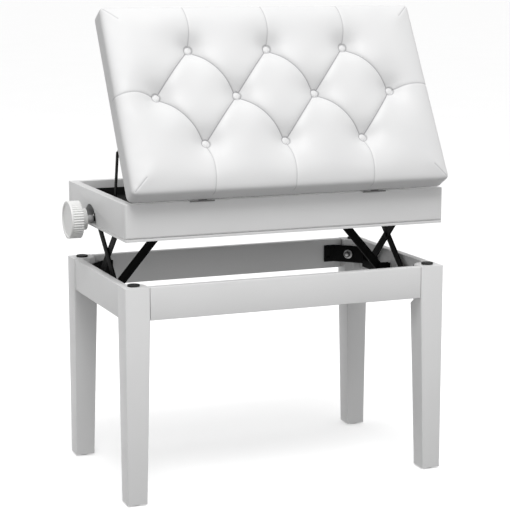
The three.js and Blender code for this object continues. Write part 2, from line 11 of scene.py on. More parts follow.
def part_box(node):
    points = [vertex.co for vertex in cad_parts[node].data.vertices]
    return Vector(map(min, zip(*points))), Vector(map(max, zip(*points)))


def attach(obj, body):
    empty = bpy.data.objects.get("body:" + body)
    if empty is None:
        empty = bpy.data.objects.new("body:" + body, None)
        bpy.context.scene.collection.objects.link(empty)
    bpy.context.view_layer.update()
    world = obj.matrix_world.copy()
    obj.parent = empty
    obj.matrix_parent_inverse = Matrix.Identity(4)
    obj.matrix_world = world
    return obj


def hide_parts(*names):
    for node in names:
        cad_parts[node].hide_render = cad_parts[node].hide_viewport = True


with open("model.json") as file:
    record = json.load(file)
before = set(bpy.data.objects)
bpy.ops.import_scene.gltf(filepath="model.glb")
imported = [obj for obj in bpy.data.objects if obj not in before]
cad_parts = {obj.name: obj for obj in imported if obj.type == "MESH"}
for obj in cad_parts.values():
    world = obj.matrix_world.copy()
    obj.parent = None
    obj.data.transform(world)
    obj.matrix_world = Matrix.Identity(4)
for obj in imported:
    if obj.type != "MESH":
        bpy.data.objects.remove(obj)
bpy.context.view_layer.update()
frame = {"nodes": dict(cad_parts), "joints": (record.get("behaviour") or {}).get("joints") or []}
MM = 0.001


def middle(node):
    low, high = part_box(node)
    return (Vector(low) + Vector(high)) / 2


def joint(name):
    return next(item for item in frame["joints"] if item["name"] == name)


# Driving dimensions, in metres, all in the frame's own coordinates.
HINGE = Vector(joint("lid_hinge")["pos_m"])
LID_ANGLE = -math.radians(joint("lid_hinge")["range_deg"][0])
LID_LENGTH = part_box("cushion")[1][0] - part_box("cushion")[0][0]
LID_MIDDLE = middle("cushion").x - HINGE.x      # the lid's middle, across from HINGE
LID_REAR = 1.6 * MM                 # from the hinge axis to the lid's rear face
LID_DEPTH = 326 * MM
LID_UNDERSIDE = 0.6 * MM
LID_THICKNESS = 42 * MM
ROLL = 7.5 * MM                     # radius of the cushion's upper edge and corners
RIM_FALL = 6.5 * MM                 # crown of the cushion from its rim to its middle
BUTTON_PITCH = 137 * MM
BUTTON_ROWS = 82 * MM               # distance between rows of buttons
TUFT_CENTRE = 167.7 * MM            # middle row, from the hinge axis
BUTTON_HEIGHT = 22.5 * MM           # the buttons' seats above the hinge axis plane
BUTTON_RADIUS = 6.7 * MM
SWELLING = 7 * MM                   # the most that the cover rises between its buttons
SWELLING_PRESSURE = 4.0
SWELLING_FRAMES = 20
SCREW_AXIS = middle("lead_screw")
LID_TO_FRAME = Matrix.Translation(HINGE) @ Matrix.Rotation(LID_ANGLE, 4, "X")


# ------------------------------------------------------------------ finishes
class Value:
    """A shader socket on which Python's arithmetic adds Math nodes."""

    def __init__(self, nodes, socket):
        self.nodes = nodes
        self.socket = socket

    def combine(self, operation, first, second=0.0):
        made = self.nodes.node("ShaderNodeMath", {"operation": operation}, {0: first, 1: second})
        return Value(self.nodes, made.outputs[0])

    def __add__(self, other):
        return self.combine("ADD", self, other)

    def __radd__(self, other):
        return self.combine("ADD", other, self)

    def __sub__(self, other):
        return self.combine("SUBTRACT", self, other)

    def __rsub__(self, other):
        return self.combine("SUBTRACT", other, self)

    def __mul__(self, other):
        return self.combine("MULTIPLY", self, other)

    def __rmul__(self, other):
        return self.combine("MULTIPLY", other, self)

    def sine(self):
        return self.combine("SINE", self)


class Nodes:
    """The nodes of one material or of the world."""

    def __init__(self, tree):
        self.tree = tree

    def node(self, kind, settings, sockets):
        """Adds a node: its settings and ramp stops first, then its sockets' values or links."""
        made = self.tree.nodes.new(kind)
        stops = settings.get("stops", ())
        for setting in settings.keys() - {"stops"}:
            setattr(made, setting, settings[setting])
        for stop, (position, colour) in zip(made.color_ramp.elements if stops else (), stops):
            stop.position = position
            stop.color = (*colour, 1)
        for key, value in sockets.items():
            self.feed(made.inputs[key], value)
        return made

    def feed(self, socket, value):
        if isinstance(value, Value):
            self.tree.links.new(value.socket, socket)
        else:
            socket.default_value = value


class Finish(Nodes):
    """One procedural material, read in Object coordinates."""

    def __init__(self, name, **surface):
        self.material = bpy.data.materials.new(name)
        self.material.use_nodes = True
        super().__init__(self.material.node_tree)
        self.surface = self.tree.nodes["Principled BSDF"]
        for socket, value in surface.items():
            label = socket.replace("_", " ").title().replace("Ior", "IOR")
            self.surface.inputs[label].default_value = value
        self.place = Value(self, self.node("ShaderNodeTexCoord", {}, {}).outputs["Object"])

    def noise(self, scale, detail=2.0):
        sockets = {"Vector": self.place, "Scale": scale, "Detail": detail}
        made = self.node("ShaderNodeTexNoise", {}, sockets)
        return Value(self, made.outputs["Fac"])

    def cells(self, scale):
        """Small cells, 0 along their edges and rising toward their middles."""
        settings = {"feature": "DISTANCE_TO_EDGE"}
        sockets = {"Vector": self.place, "Scale": scale}
        made = self.node("ShaderNodeTexVoronoi", settings, sockets)
        return Value(self, made.outputs["Distance"])

    def axis(self, letter):
        made = self.node("ShaderNodeSeparateXYZ", {}, {0: self.place})
        return Value(self, made.outputs[letter])

    def attribute(self, name):
        made = self.node("ShaderNodeAttribute", {"attribute_name": name}, {})
        return Value(self, made.outputs["Fac"])

    def blend(self, mask, low, high):
        """The colour low where the mask is 0 and high where it is 1."""
        settings = {"data_type": "RGBA"}
        made = self.node("ShaderNodeMix", settings, {0: mask, 6: (*low, 1), 7: (*high, 1)})
        return Value(self, made.outputs[2])

    def colour(self, value):
        self.feed(self.surface.inputs["Base Color"], value)

    def roughness(self, value):
        self.feed(self.surface.inputs["Roughness"], value)

    def bump(self, height, distance, strength=1.0):
        sockets = {"Height": height, "Distance": distance, "Strength": strength}
        made = self.node("ShaderNodeBump", {}, sockets)
        self.feed(self.surface.inputs["Normal"], Value(self, made.outputs["Normal"]))


def grey(level):
    return (level, level, level)


PAINTED_SHADE_GREY = (0.27, 0.27, 0.28)      # painted shade: the grey laid on the leather down in a fold and round each button
THREAD_PITCH = 2.5 * MM
WEAVE = 5200                        # threads of the lining, in radians per metre


def satin_paint():
    finish = Finish("satin white paint", coat_weight=0.08, coat_roughness=0.3)
    finish.colour(finish.blend(finish.noise(9), grey(0.74), grey(0.79)))
    finish.roughness(0.36 + 0.12 * finish.noise(30))
    finish.bump(finish.noise(420, 3) + 0.5 * finish.noise(60), 0.06 * MM)
    return finish.material


def faux_leather():
    finish = Finish("white faux leather", coat_weight=0.05, coat_roughness=0.4)
    # Painted shade: the leather is darkened toward a grey along each pleat and seam and in a thin
    # ring round each button.
    painted_fold_shade = finish.attribute("painted_fold_shade")
    smooth_white = finish.blend(finish.noise(14), (0.63, 0.63, 0.634), (0.68, 0.68, 0.68))
    sockets = {0: painted_fold_shade, 6: smooth_white, 7: (*PAINTED_SHADE_GREY, 1)}
    shaded = finish.node("ShaderNodeMix", {"data_type": "RGBA"}, sockets)
    finish.colour(Value(finish, shaded.outputs[2]))
    finish.roughness(0.42 + 0.14 * finish.noise(50))
    grain = finish.cells(620) + 0.5 * finish.noise(900, 3)
    finish.bump(grain, 0.16 * MM, 0.55)
    return finish.material


def powder_coat():
    finish = Finish("black powder coat", specular_ior_level=0.06)
    finish.colour(finish.blend(finish.noise(40), grey(0.002), grey(0.006)))
    finish.roughness(0.56 + 0.16 * finish.noise(160))
    finish.bump(finish.noise(1400, 2), 0.05 * MM)
    return finish.material


def threaded_steel():
    finish = Finish("black rolled thread", metallic=0.7)
    finish.colour(finish.blend(finish.noise(80), grey(0.02), grey(0.06)))
    finish.roughness(0.3 + 0.15 * finish.noise(200))
    turns = finish.axis("X") * (2 * math.pi / THREAD_PITCH)
    finish.bump(turns.sine(), 0.5 * MM)
    return finish.material


def plated_steel(name, low, high):
    finish = Finish(name, metallic=0.9)
    finish.colour(finish.blend(finish.noise(120), grey(low), grey(high)))
    finish.roughness(0.24 + 0.2 * finish.noise(90))
    finish.bump(finish.noise(700, 2), 0.02 * MM)
    return finish.material


def black_rubber():
    finish = Finish("black rubber")
    finish.colour(finish.blend(finish.noise(70), grey(0.01), grey(0.02)))
    finish.roughness(0.62 + 0.2 * finish.noise(200))
    finish.bump(finish.noise(900, 2), 0.04 * MM)
    return finish.material


def moulded_plastic(name, low, high):
    finish = Finish(name, coat_weight=0.1, coat_roughness=0.25)
    finish.colour(finish.blend(finish.noise(25), low, high))
    finish.roughness(0.34 + 0.1 * finish.noise(120))
    finish.bump(finish.noise(1100, 2), 0.03 * MM)
    return finish.material


def tray_lining():
    finish = Finish("black tray board", specular_ior_level=0.12)
    finish.colour(finish.blend(finish.noise(60), grey(0.006), grey(0.013)))
    finish.roughness(0.6 + 0.2 * finish.noise(150))
    finish.bump(finish.cells(700), 0.08 * MM)
    return finish.material


def lining_cloth():
    finish = Finish("black non-woven cloth")
    threads = (finish.axis("X") * WEAVE).sine() * (finish.axis("Z") * WEAVE).sine()
    finish.colour(finish.blend(finish.noise(300, 4), grey(0.02), grey(0.05)))
    finish.roughness(0.85 + 0.1 * finish.noise(80))
    finish.bump(threads + finish.noise(600, 4), 0.1 * MM)
    return finish.material


PAINT = satin_paint()
LEATHER = faux_leather()
BLACK_STEEL = powder_coat()
THREAD = threaded_steel()
ZINC = plated_steel("zinc plate", 0.2, 0.36)
# Painted shade: the nuts get this darker zinc to stand in for the shadows round the bolt heads.
SHADE_DARK_ZINC = plated_steel("zinc darkened as painted shade", 0.03, 0.08)
HINGE_STEEL = plated_steel("bronzed steel", 0.1, 0.17)
RUBBER = black_rubber()
PLASTIC = moulded_plastic(
    "white moulded plastic", (0.78, 0.78, 0.77), (0.84, 0.84, 0.83))
SLEEVE_PLASTIC = moulded_plastic("grey moulded plastic", grey(0.4), grey(0.5))
NYLON = moulded_plastic(
    "off-white nylon", (0.55, 0.55, 0.54), (0.64, 0.64, 0.63))
TRAY = tray_lining()
LINING = lining_cloth()


# ------------------------------------------------------------------ working by hand
WELD = 0.002 * MM                   # points nearer than this are one point
FLAT = math.radians(0.6)            # faces that turn less than this are one face
SMOOTH = math.radians(38)           # edges that turn less than this are shaded smooth


def only(piece):
    """Makes the piece the one selected and active object."""
    for other in bpy.context.selected_objects:
        other.select_set(False)
    piece.select_set(True)
    bpy.context.view_layer.objects.active = piece
    return piece


def started():
    """The primitive that was just added, by itself."""
    return only(bpy.context.active_object)


def select(piece, kind, test):
    """Selects, in edit mode, only the vertices, edges or faces that pass the test."""
    bpy.ops.object.mode_set(mode="OBJECT")
    mesh = piece.data
    for group in (mesh.vertices, mesh.edges, mesh.polygons):
        for item in group:
            item.select = False
    parts = {"VERT": mesh.vertices, "EDGE": mesh.edges, "FACE": mesh.polygons}[kind]
    for item in parts:
        item.select = test(item)
    bpy.ops.object.mode_set(mode="EDIT")
    bpy.ops.mesh.select_mode(type=kind)


def edit_all():
    bpy.ops.object.mode_set(mode="EDIT")
    bpy.ops.mesh.select_mode(type="VERT")
    bpy.ops.mesh.select_all(action="SELECT")


def done_editing():
    bpy.ops.object.mode_set(mode="OBJECT")


def apply_modifier(piece, kind, **settings):
    only(piece)
    modifier = piece.modifiers.new(kind.title(), kind)
    for name, value in settings.items():
        setattr(modifier, name, value)
    bpy.ops.object.modifier_apply(modifier=modifier.name)


def round_edges(piece, width, segments=3, angle=30):
    apply_modifier(piece, "BEVEL", width=width, segments=segments, limit_method="ANGLE",
                   angle_limit=math.radians(angle), use_clamp_overlap=True)
    only(piece)
    bpy.ops.object.shade_smooth_by_angle(angle=SMOOTH)


def settle(piece):
    """Puts the piece's place into its mesh."""
    only(piece)
    bpy.ops.object.transform_apply(location=True, rotation=True, scale=True)
    return piece


def hand_over(piece, name, body, material, replaces=()):
    """Names a finished piece, gives it its material and lets it ride on its body."""
    piece.name = name
    piece.data.name = name
    piece.data.materials.clear()
    piece.data.materials.append(material)
    if replaces:
        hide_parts(*replaces)
    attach(piece, body)
    return piece


def join(first, *others):
    only(first)
    for other in others:
        other.select_set(True)
    if others:
        bpy.ops.object.join()
    return first


def another(pattern, move):
    """A copy of the pattern with a mesh of its own, carried to its place."""
    copy = pattern.copy()
    copy.data = pattern.data.copy()
    copy.data.transform(move)
    bpy.context.scene.collection.objects.link(copy)
    return copy


def put_away(*patterns):
    """Removes patterns that have all their copies."""
    for pattern in patterns:
        bpy.data.objects.remove(pattern)


def merged_copy(node):
    """A copy of a frame node as clean faces instead of loose triangles."""
    piece = bpy.data.objects.new(node, frame["nodes"][node].data.copy())
    bpy.context.scene.collection.objects.link(piece)
    only(piece)
    edit_all()
    bpy.ops.mesh.remove_doubles(threshold=WELD)
    bpy.ops.mesh.dissolve_limited(angle_limit=FLAT)
    done_editing()
    return piece


def soften(node, name, body, material, width, segments=3):
    """A frame node with the small edge rounding of the finished part."""
    piece = merged_copy(node)
    round_edges(piece, width, segments)
    return hand_over(piece, name, body, material, (node,))


def turned(direction):
    """The turn that takes +Z to the direction."""
    return Vector(direction).to_track_quat("Z", "Y").to_matrix().to_4x4()


def cylinder(radius, bottom, top, vertices=32):
    """An upright cylinder on the origin's axis."""
    bpy.ops.mesh.primitive_cylinder_add(vertices=vertices, radius=radius, depth=top - bottom,
                                        location=(0, 0, (bottom + top) / 2))
    return settle(started())


def domed_head(radius, height, vertices=24):
    """The pattern of a rivet or screw head: it stands on the origin, domed toward +Z."""
    head = cylinder(radius, 0, height, vertices)
    select(head, "FACE", lambda face: face.normal.z > 0.9)
    bpy.ops.mesh.bevel(offset=0.75 * height, segments=4, affect="EDGES")
    done_editing()
    only(head)
    bpy.ops.object.shade_smooth_by_angle(angle=math.radians(40))
    return head


def heads_at(pattern, spots):
    """One piece of heads, each copied to its (place, direction, size)."""
    heads = []
    for place, direction, size in spots:
        move = Matrix.Translation(place) @ turned(direction) @ Matrix.Scale(size, 4)
        heads.append(another(pattern, move))
    return join(*heads)


# ------------------------------------------------------------------ lower frame
CORNERS = {
    "rear_left": (-1, -1),
    "rear_right": (1, -1),
    "front_right": (1, 1),
    "front_left": (-1, 1),
}
STUD_RADIUS = 3 * MM
NUT_RADIUS = 6.2 * MM
WASHER_RADIUS = 8.2 * MM
NUT_TOP, NUT_SEAT, WASHER_BACK, STUD_ROOT = -2.4 * MM, -7.4 * MM, -9 * MM, -30 * MM
FLANGE_THICKNESS = 2 * MM
SCREW_FROM_EDGE = 8 * MM
SCREW_LIFTS = (-9 * MM, 9 * MM)     # the flange screws, below and above the plate's middle


def inward(corner):
    """The level diagonal from a corner toward the middle of the bench."""
    side_x, side_y = CORNERS[corner]
    return Vector((-side_x, -side_y, 0)).normalized()


def bolt_patterns():
    """A hanger bolt along +Z with its tip on the origin: washer with stud, and hexagon nut."""
    washer = cylinder(WASHER_RADIUS, WASHER_BACK, NUT_SEAT, 40)
    round_edges(washer, 0.4 * MM)
    stud = cylinder(STUD_RADIUS, STUD_ROOT, 0, 20)
    round_edges(stud, 0.6 * MM)
    nut = cylinder(NUT_RADIUS, NUT_SEAT, NUT_TOP, 6)
    round_edges(nut, 0.7 * MM)
    return join(washer, stud), nut


def bolt_tip(corner):
    low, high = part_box(f"corner_bolt_{corner}")
    reach = (Vector(high) - Vector(low)).xy.length / 2 - STUD_RADIUS
    return middle(f"corner_bolt_{corner}") + inward(corner) * reach


def flange_screw_spots(corner):
    """Four pan-head screws, two through each flange of the corner plate."""
    side_x, side_y = CORNERS[corner]
    low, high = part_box(f"corner_bracket_{corner}")
    centre = middle(f"corner_bracket_{corner}")
    half_x, half_y = (high[0] - low[0]) / 2, (high[1] - low[1]) / 2
    spots = []
    from_end_x, from_end_y = half_x - FLANGE_THICKNESS, half_y - SCREW_FROM_EDGE
    from_side_x, from_side_y = half_x - SCREW_FROM_EDGE, half_y - FLANGE_THICKNESS
    for lift in SCREW_LIFTS:
        on_end = centre + Vector((side_x * from_end_x, -side_y * from_end_y, lift))
        on_side = centre + Vector((-side_x * from_side_x, side_y * from_side_y, lift))
        spots += [(on_end, (-side_x, 0, 0), 1), (on_side, (0, -side_y, 0), 1)]
    return spots


def bumper_pattern():
    """Moulded rubber stop about the origin: a disc with a soft rim and a shallow dished top."""
    low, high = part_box("bumper_rear_left")
    half = (high[2] - low[2]) / 2
    piece = cylinder((high[0] - low[0]) / 2, -half, half, 48)
    select(piece, "FACE", lambda face: face.normal.z > 0.9)
    bpy.ops.mesh.inset(thickness=2.6 * MM)
    bpy.ops.transform.translate(value=(0, 0, -0.5 * MM))
    done_editing()
    round_edges(piece, 0.7 * MM, 4, 20)
    return piece


def glide_pattern():
    """Nail-on glide about the origin: a flared nylon foot with a rounded sole."""
    low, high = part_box("glide_rear_left")
    half = (high[2] - low[2]) / 2
    piece = cylinder((high[0] - low[0]) / 2, -half, half, 40)
    select(piece, "FACE", lambda face: face.normal.z < -0.9)
    bpy.ops.mesh.bevel(offset=1.3 * MM, segments=5, affect="EDGES")
    select(piece, "FACE", lambda face: face.normal.z > 0.9)
    bpy.ops.mesh.inset(thickness=2.2 * MM)
    done_editing()
    only(piece)
    bpy.ops.object.shade_smooth_by_angle(angle=math.radians(50))
    return piece


bolt, bolt_nut = bolt_patterns()
screw_head = domed_head(3.6 * MM, 1.8 * MM, 16)
rubber_stop, foot_glide = bumper_pattern(), glide_pattern()
for corner in CORNERS:
    soften(f"leg_{corner}", f"leg_post_{corner}", "stand", PAINT, 1.0 * MM)
    soften(f"corner_bracket_{corner}", f"corner_plate_{corner}", "stand",
           BLACK_STEEL, 0.5 * MM, 2)
    through = Matrix.Translation(bolt_tip(corner)) @ turned(inward(corner))
    hand_over(another(bolt, through), f"bolt_{corner}", "stand", ZINC, (f"corner_bolt_{corner}",))
    # painted shade: the nut darker than its washer, for the shadow round the bolt head
    hand_over(another(bolt_nut, through), f"bolt_nut_{corner}", "stand", SHADE_DARK_ZINC)
    screws = heads_at(screw_head, flange_screw_spots(corner))
    hand_over(screws, f"bracket_screws_{corner}", "stand", BLACK_STEEL)
    for pattern, node, name, material in (
        (rubber_stop, f"bumper_{corner}", f"rubber_stop_{corner}", RUBBER),
        (foot_glide, f"glide_{corner}", f"foot_glide_{corner}", NYLON),
    ):
        piece = another(pattern, Matrix.Translation(middle(node)))
        hand_over(piece, name, "stand", material, (node,))
put_away(bolt, bolt_nut, screw_head, rubber_stop, foot_glide)
for end in ("rear", "front", "left", "right"):
    soften(f"apron_{end}", f"apron_board_{end}", "stand", PAINT, 0.9 * MM)


# ------------------------------------------------------------------ seat box
def box_wall(end):
    """A wall of the seat box, with the long walls' outer corners rounded wide."""
    node = f"box_wall_{end}"
    piece = merged_copy(node)
    if end in ("rear", "front"):
        low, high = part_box(node)
        outer_y = low[1] if end == "rear" else high[1]

        def outer_corner(edge):
            ends = [piece.data.vertices[i].co for i in edge.vertices]
            upright = abs(ends[0].z - ends[1].z) > 20 * MM
            at_end = min(abs(ends[0].x - low[0]), abs(ends[0].x - high[0])) < 0.1 * MM
            return upright and at_end and abs(ends[0].y - outer_y) < 0.1 * MM

        select(piece, "EDGE", outer_corner)
        bpy.ops.mesh.bevel(offset=3.6 * MM, segments=6, affect="EDGES")
        done_editing()
    round_edges(piece, 1.1 * MM, 3, 25)
    return hand_over(piece, f"box_side_{end}", "seat_box", PAINT, (node,))


for end in ("rear", "front", "left", "right"):
    box_wall(end)
soften("box_base_ring", "box_lower_lip", "seat_box", PAINT, 0.9 * MM)
soften("storage_tray", "music_tray", "seat_box", TRAY, 0.5 * MM, 2)


# ------------------------------------------------------------------ lift mechanism
RIVET_RADIUS = 4.6 * MM
rivet_head = domed_head(RIVET_RADIUS, 1.4 * MM)


def rivet_row(name, body, spots):
    """Domed heads at the places, each with its direction and its radius in millimetres."""
    sized = [(place, direction, radius * MM / RIVET_RADIUS)
             for place, direction, radius in spots]
    return hand_over(heads_at(rivet_head, sized), name, body, BLACK_STEEL)


# Frame node, piece, body, finish, edge rounding in millimetres and its segments, at each end.
LIFT_PIECES = (
    ("lower_rail", "base_rail", "stand", BLACK_STEEL, 0.5, 2),
    ("upper_rail", "box_rail", "seat_box", BLACK_STEEL, 0.4, 2),
    ("scissor_outer", "outer_link", "scissor_outer_{}", BLACK_STEEL, 0.5, 2),
    ("scissor_inner", "inner_link", "scissor_inner_{}", BLACK_STEEL, 0.5, 2),
    ("drive_arm", "lift_arm", "drive_arm_{}", BLACK_STEEL, 0.25, 2),
    ("screw_nut", "travelling_nut", "nut_{}", ZINC, 0.8, 3),
)
LINK_HEAD, PIVOT_HEAD, PIN_HEAD = 5.0, 4.6, 4.4     # radii in millimetres
LINK_HEAD_IN = 0.7 * MM             # seats of the heads, from the inner link's face
UPPER_HEAD_IN = 0.5 * MM            # toward the bench's middle
LOWER_HEAD_OUT = 2.6 * MM           # toward the bench's end
PIN_HEAD_OUT = 5.2 * MM             # from the drive arm's pivot, along its pin

for side_name, side in (("left", -1), ("right", 1)):
    letter = side_name[0]
    for node, name, body, material, width, segments in LIFT_PIECES:
        soften(f"{node}_{side_name}", f"{name}_{side_name}", body.format(letter),
               material, width * MM, segments)
    inner = -side * Vector((1, 0, 0))
    low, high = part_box(f"scissor_inner_{side_name}")
    face_x = high[0] if side < 0 else low[0]
    link_middle = middle(f"scissor_inner_{side_name}")
    rivet_row(f"link_rivet_{side_name}", f"scissor_outer_{letter}", [
        (Vector((face_x - side * LINK_HEAD_IN, link_middle.y, link_middle.z)), inner, LINK_HEAD),
    ])
    upper = Vector(joint(f"scissor_inner_{side_name}_pivot")["pos_m"])
    rivet_row(f"upper_pivot_rivet_{side_name}", "seat_box", [
        (Vector((face_x - side * UPPER_HEAD_IN, upper.y, upper.z)), inner, PIVOT_HEAD),
    ])
    lower = Vector(joint(f"scissor_outer_{side_name}_pivot")["pos_m"])
    rivet_row(f"lower_pivot_rivet_{side_name}", "stand", [
        (Vector((face_x + side * LOWER_HEAD_OUT, lower.y, lower.z)), inner, PIVOT_HEAD),
    ])
    arm = Vector(joint(f"drive_arm_{side_name}_pivot")["pos_m"])
    rivet_row(f"arm_pin_heads_{side_name}", "stand", [
        (arm + Vector((0, PIN_HEAD_OUT, 0)), Vector((0, 1, 0)), PIN_HEAD),
        (arm - Vector((0, PIN_HEAD_OUT, 0)), Vector((0, -1, 0)), PIN_HEAD),
    ])

soften("lead_screw", "drive_screw", "knob_and_screw", THREAD, 0.4 * MM, 2)
soften("knob_sleeve", "shaft_sleeve", "knob_and_screw", SLEEVE_PLASTIC, 0.5 * MM, 2)


# ------------------------------------------------------------------ knob
KNOB_FRONT, KNOB_BACK = 2 * MM, 23 * MM     # the grip, from the node's outer end
FLUTES = 44
STEPS = 4 * FLUTES                  # points round the grip: two on each flute, two between
FLUTE_DEPTH = 1.5 * MM
FLUTE_START = 3.9 * MM              # from the grip's front
GRIP_CUTS = (3.4 * MM, 4.1 * MM)    # rows of points where the flutes run out at the front
BACK_CUT = 1.6 * MM                 # and the one at the back
FACE_RIM = 3.2 * MM
DISH_STEP, DISH_DEPTH = 0.7 * MM, 1.7 * MM
HUB_RADIUS = 15 * MM


def knob():
    """A fluted hand knob: smooth rim, grip band of shallow flutes, dished face and a round hub."""
    low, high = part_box("knob")
    radius = (high[2] - low[2]) / 2
    front, back = low[0] + KNOB_FRONT, low[0] + KNOB_BACK
    bpy.ops.mesh.primitive_cylinder_add(
        vertices=STEPS, radius=radius, depth=back - front,
        location=((front + back) / 2, SCREW_AXIS.y, SCREW_AXIS.z), rotation=(0, math.pi / 2, 0))
    piece = settle(started())
    for cut_x in (*(front + cut for cut in GRIP_CUTS), back - BACK_CUT):
        edit_all()
        bpy.ops.mesh.bisect(plane_co=(cut_x, SCREW_AXIS.y, SCREW_AXIS.z), plane_no=(1, 0, 0))
    done_editing()

    def in_flute(vertex):
        out_y, out_z = vertex.co.y - SCREW_AXIS.y, vertex.co.z - SCREW_AXIS.z
        step = round(math.atan2(out_z, out_y) / (2 * math.pi) * STEPS)
        return step % 4 < 2 and front + FLUTE_START < vertex.co.x

    select(piece, "VERT", in_flute)
    shrink = 1 - FLUTE_DEPTH / radius
    bpy.ops.transform.resize(
        value=(1, shrink, shrink), center_override=(back, SCREW_AXIS.y, SCREW_AXIS.z))
    select(piece, "FACE", lambda face: face.normal.x < -0.9)
    bpy.ops.mesh.inset(thickness=FACE_RIM)
    bpy.ops.mesh.inset(thickness=DISH_STEP)
    bpy.ops.transform.translate(value=(DISH_DEPTH, 0, 0))
    select(piece, "FACE", lambda face: face.normal.x > 0.9 and face.area > 1e-4)
    bpy.ops.mesh.inset(thickness=radius - HUB_RADIUS - FLUTE_DEPTH)
    to_hub_end = {"value": (high[0] - back, 0, 0)}
    bpy.ops.mesh.extrude_region_move(TRANSFORM_OT_translate=to_hub_end)
    done_editing()
    round_edges(piece, 0.5 * MM, 3, 34)
    return hand_over(piece, "hand_knob", "knob_and_screw", PLASTIC, ("knob",))


knob()


# ------------------------------------------------------------------ lid
def button_places():
    """(x, distance from the hinge axis) of the ten buttons, in rows of 3, 4 and 3."""
    places = []
    for row, count in ((-1, 3), (0, 4), (1, 3)):
        for number in range(count):
            across = (number - (count - 1) / 2) * BUTTON_PITCH
            places.append((across, TUFT_CENTRE + row * BUTTON_ROWS))
    return places


class Pleat:
    """A pleat pressed into the cover along a line, deeper where it leaves a button."""

    def __init__(self, line, depth, spread, at_button=0.0):
        self.line = line
        self.depth = depth
        self.spread = spread
        self.at_button = at_button

    def sink(self, places, away):
        """How far each place sinks, from its distance to the line."""
        from_button = np.linalg.norm(places - self.line[0], axis=1)
        depth = self.depth + self.at_button * np.exp(-from_button / (13 * MM))
        return depth * np.exp(-away / self.spread)


def bowed(x0, y0, x1, y1, bow, count=16):
    """Points along a shallow bow between two places, aside toward the right and the front."""
    run = np.array([x1 - x0, y1 - y0])
    aside = np.array([-run[1], run[0]]) / np.linalg.norm(run)
    aside *= 1 if aside.sum() > 0 else -1
    steps = np.linspace(0, 1, count)[:, None]
    return np.array([x0, y0]) + steps * run + aside * bow * np.sin(np.pi * steps)


def diamond_pleats():
    """The folds between neighbouring buttons: one diagonal bowed, the other all but straight."""
    pleats = []
    for x0, y0 in MIDDLE_ROW:
        for x1, y1 in OUTER_ROWS:
            if abs(x1 - x0) > 0.6 * BUTTON_PITCH:
                continue
            falling = (x1 - x0) * (y1 - y0) < 0
            line = bowed(x0, y0, x1, y1, 6.5 * MM if falling else -1 * MM)
            pleats.append(Pleat(line, 4.6 * MM, 5 * MM))
    return pleats


def edge_pleats():
    """The shallow folds that run from the outer buttons over the lid's edges."""
    ends = []
    for x, y in OUTER_ROWS:
        if y > TUFT_CENTRE:
            ends.append((x, y, x, LID_REAR + LID_DEPTH, 4 * MM))
        else:
            ends.append((x, y, x - 2 * MM, LID_REAR, 4 * MM))
    left, right = MIDDLE_ROW[0], MIDDLE_ROW[-1]
    ends.append((*left, -LID_LENGTH / 2, left[1] + 1 * MM, 6 * MM))
    ends.append((*right, LID_LENGTH / 2, right[1] + 7 * MM, 3 * MM))
    return [Pleat(bowed(*end), 1.0 * MM, 1.9 * MM, 3.4 * MM) for end in ends]


def corner_seams():
    """The short diagonal seams where the cover is mitred at the lid's corners."""
    seams = []
    inset, reach = 6 * MM, 20 * MM
    for side_x in (-1, 1):
        for y, way in ((LID_REAR, 1), (LID_REAR + LID_DEPTH, -1)):
            start = np.array([side_x * (LID_LENGTH / 2 - inset), y + way * inset])
            end = start + np.array([-side_x * reach, way * reach])
            seams.append(Pleat(np.array([start, end]), 0.8 * MM, 1.2 * MM))
    return seams


BUTTONS = button_places()
MIDDLE_ROW = [place for place in BUTTONS if abs(place[1] - TUFT_CENTRE) < MM]
OUTER_ROWS = [place for place in BUTTONS if place not in MIDDLE_ROW]
PLEATS = diamond_pleats() + edge_pleats() + corner_seams()


def distance_to_line(places, line):
    """Each place's distance to a line of points."""
    nearest = np.full(len(places), np.inf)
    for start, end in zip(line[:-1], line[1:]):
        run = end - start
        share = np.clip(((places - start) @ run) / (run @ run), 0, 1)
        nearest = np.minimum(nearest, np.linalg.norm(places - start - share[:, None] * run, axis=1))
    return nearest


def read_places(piece):
    places = np.empty(3 * len(piece.data.vertices))
    piece.data.vertices.foreach_get("co", places)
    return places.reshape(-1, 3)


def write_places(piece, places):
    piece.data.vertices.foreach_set("co", places.ravel())
    piece.data.update()


def slab():
    """The lid's foam block: flat sides, a crisp lower edge and a rolled upper edge."""
    size = Vector((LID_LENGTH - 0.8 * MM, LID_DEPTH - 0.8 * MM, LID_THICKNESS - 1 * MM))
    centre = Vector((0, LID_REAR + LID_DEPTH / 2, LID_UNDERSIDE + size.z / 2))
    low, high = centre - size / 2, centre + size / 2
    bpy.ops.mesh.primitive_cube_add(size=1, location=centre, scale=size)
    piece = settle(started())
    rows = (
        np.linspace(low.x + ROLL, high.x - ROLL, 63),
        np.linspace(low.y + ROLL, high.y - ROLL, 38),
        np.linspace(low.z, high.z - ROLL, 6)[1:],
    )
    for axis, cuts in enumerate(rows):
        for cut in cuts:
            spot, normal = centre.copy(), [0, 0, 0]
            spot[axis], normal[axis] = cut, 1
            edit_all()
            bpy.ops.mesh.bisect(plane_co=spot, plane_no=normal)
            done_editing()
    select(piece, "FACE", lambda face: face.normal.z < -0.9)
    bpy.ops.mesh.dissolve_faces()
    done_editing()
    places = read_places(piece)
    core = np.clip(places, np.array(low) + (ROLL, ROLL, 0), np.array(high) - ROLL)
    outward = places - core
    length = np.linalg.norm(outward, axis=1)[:, None]
    write_places(piece, core + outward / np.maximum(length, 1e-9) * ROLL)

    def lowest(edge):
        return all(piece.data.vertices[i].co.z < low.z + 0.01 * MM for i in edge.vertices)

    select(piece, "EDGE", lowest)
    bpy.ops.transform.edge_crease(value=0.75)
    done_editing()
    return piece


def distance_to_buttons(places):
    """Each place's level distance to the nearest button."""
    return np.min([np.hypot(places[:, 0] - x, places[:, 1] - y) for x, y in BUTTONS], axis=0)


